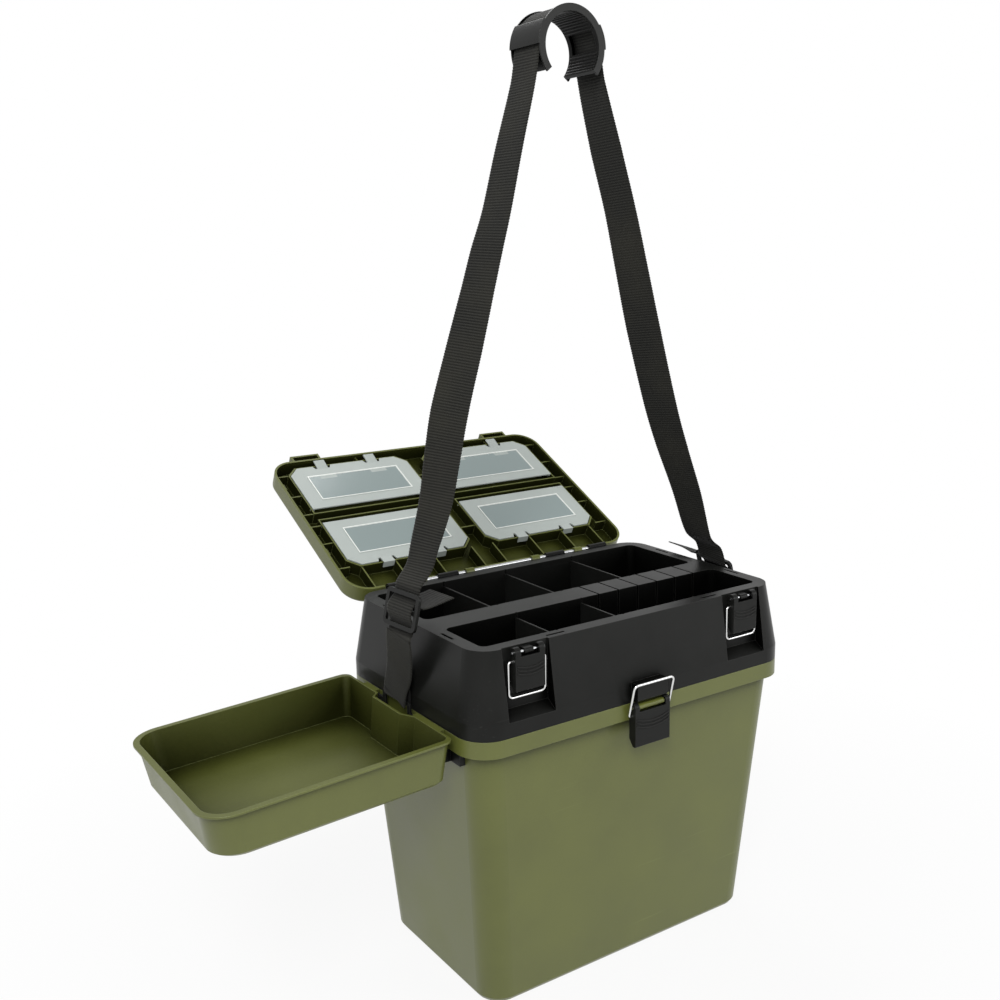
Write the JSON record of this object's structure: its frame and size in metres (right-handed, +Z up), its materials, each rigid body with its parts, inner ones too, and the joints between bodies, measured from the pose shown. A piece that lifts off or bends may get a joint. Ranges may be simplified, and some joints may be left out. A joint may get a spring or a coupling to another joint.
{
  "type": "fishing seat box",
  "caption": "Fishing seat box: tapered bucket, hinged tray case, hinged seat lid with clear pocket covers, lift-off side tray and shoulder strap with a moulded grip.",
  "frame": {"origin": "middle of the bucket's flat underside", "axes": "+Z up, -Y to the front with the latches, X along the length; the side tray hangs at -X"},
  "size_m": [0.6417, 0.4717, 0.9025],
  "materials": {
    "green_plastic": "satin moulded polypropylene, olive green",
    "black_plastic": "satin moulded polypropylene, black",
    "clear_plastic": "translucent moulded plastic",
    "steel": "plain steel rod and screws",
    "steel_wire": "bright plated wire",
    "webbing": "woven black webbing",
    "foam": "closed-cell foam cushion, black"
  },
  "bodies": {
    "box": {"bucket": "green_plastic", "side_bracket_left": "black_plastic", "side_bracket_right": "black_plastic", "bracket_screws": "steel", "strap_left": "webbing", "strap_right": "webbing", "strap_tail": "webbing", "buckle_left": "black_plastic", "buckle_right": "black_plastic", "shoulder_grip": "black_plastic", "case_hinge_rod": "steel", "latch_pin_centre": "steel"},
    "case": {"tray_case": "black_plastic", "lid_hinge_rod": "steel", "latch_pin_left": "steel", "latch_pin_right": "steel"},
    "lid": {"lid_shell": "green_plastic", "seat_pad": "foam"},
    "cover_front_left": {"cover_front_left": "clear_plastic"},
    "cover_front_right": {"cover_front_right": "clear_plastic"},
    "cover_rear_left": {"cover_rear_left": "clear_plastic"},
    "cover_rear_right": {"cover_rear_right": "clear_plastic"},
    "divider_back_left": {"divider_back_left": "black_plastic"},
    "divider_back_middle": {"divider_back_middle": "black_plastic"},
    "divider_back_right": {"divider_back_right": "black_plastic"},
    "divider_front_left": {"divider_front_left": "black_plastic"},
    "divider_front_middle": {"divider_front_middle": "black_plastic"},
    "latch_lever_left": {"latch_lever_left": "black_plastic"},
    "latch_bail_left": {"latch_bail_left": "steel_wire"},
    "latch_lever_right": {"latch_lever_right": "black_plastic"},
    "latch_bail_right": {"latch_bail_right": "steel_wire"},
    "latch_lever_centre": {"latch_lever_centre": "black_plastic"},
    "latch_bail_centre": {"latch_bail_centre": "steel_wire"},
    "side_tray": {"side_tray": "green_plastic"}
  },
  "joints": [
    {"name": "case_hinge", "type": "hinge", "parent": "box", "child": "case", "pos_m": [0, 0.1275, 0.274], "axis": [1, 0, 0], "range_deg": [-95, 0], "deforming": ["strap_left", "strap_right", "strap_tail"]},
    {"name": "lid_hinge", "type": "hinge", "parent": "case", "child": "lid", "pos_m": [0, 0.116, 0.354], "axis": [-1, 0, 0], "range_deg": [-152.9, 0], "deforming": ["strap_left", "strap_right", "strap_tail"]},
    {"name": "cover_front_left_hinge", "type": "hinge", "parent": "lid", "child": "cover_front_left", "pos_m": [-0.0865, 0.24826, 0.41494], "axis": [1, 0, 0], "range_deg": [0, 95]},
    {"name": "cover_front_right_hinge", "type": "hinge", "parent": "lid", "child": "cover_front_right", "pos_m": [0.0865, 0.24826, 0.41494], "axis": [1, 0, 0], "range_deg": [0, 95]},
    {"name": "cover_rear_left_hinge", "type": "hinge", "parent": "lid", "child": "cover_rear_left", "pos_m": [-0.0865, 0.22155, 0.40127], "axis": [-1, 0, 0], "range_deg": [0, 95]},
    {"name": "cover_rear_right_hinge", "type": "hinge", "parent": "lid", "child": "cover_rear_right", "pos_m": [0.0865, 0.22155, 0.40127], "axis": [-1, 0, 0], "range_deg": [0, 95]},
    {"name": "divider_back_left_lift", "type": "slide", "parent": "case", "child": "divider_back_left", "axis": [0, 0, 1], "range_m": [0, 0.06]},
    {"name": "divider_back_middle_lift", "type": "slide", "parent": "case", "child": "divider_back_middle", "axis": [0, 0, 1], "range_m": [0, 0.06]},
    {"name": "divider_back_right_lift", "type": "slide", "parent": "case", "child": "divider_back_right", "axis": [0, 0, 1], "range_m": [0, 0.06]},
    {"name": "divider_front_left_lift", "type": "slide", "parent": "case", "child": "divider_front_left", "axis": [0, 0, 1], "range_m": [0, 0.06]},
    {"name": "divider_front_middle_lift", "type": "slide", "parent": "case", "child": "divider_front_middle", "axis": [0, 0, 1], "range_m": [0, 0.06]},
    {"name": "latch_lever_left_hinge", "type": "hinge", "parent": "case", "child": "latch_lever_left", "pos_m": [-0.13, -0.115, 0.35], "axis": [-1, 0, 0], "range_deg": [0, 110]},
    {"name": "latch_bail_left_hinge", "type": "hinge", "parent": "latch_lever_left", "child": "latch_bail_left", "pos_m": [-0.13, -0.113, 0.3415], "axis": [1, 0, 0], "range_deg": [-170, 0]},
    {"name": "latch_lever_right_hinge", "type": "hinge", "parent": "case", "child": "latch_lever_right", "pos_m": [0.13, -0.115, 0.35], "axis": [-1, 0, 0], "range_deg": [0, 110]},
    {"name": "latch_bail_right_hinge", "type": "hinge", "parent": "latch_lever_right", "child": "latch_bail_right", "pos_m": [0.13, -0.113, 0.3415], "axis": [1, 0, 0], "range_deg": [-170, 0]},
    {"name": "latch_lever_centre_hinge", "type": "hinge", "parent": "box", "child": "latch_lever_centre", "pos_m": [0, -0.127, 0.273], "axis": [-1, 0, 0], "range_deg": [0, 95]},
    {"name": "latch_bail_centre_hinge", "type": "hinge", "parent": "latch_lever_centre", "child": "latch_bail_centre", "pos_m": [0, -0.125, 0.2645], "axis": [-1, 0, 0], "range_deg": [-132, 0]},
    {"name": "side_tray_lift", "type": "slide", "parent": "box", "child": "side_tray", "axis": [0, 0, 1], "range_m": [0, 0.03]}
  ],
  "couplings": [
    {"joint": "latch_bail_centre_hinge", "follows": "latch_lever_centre_hinge", "ratio": -1.38}
  ]
}
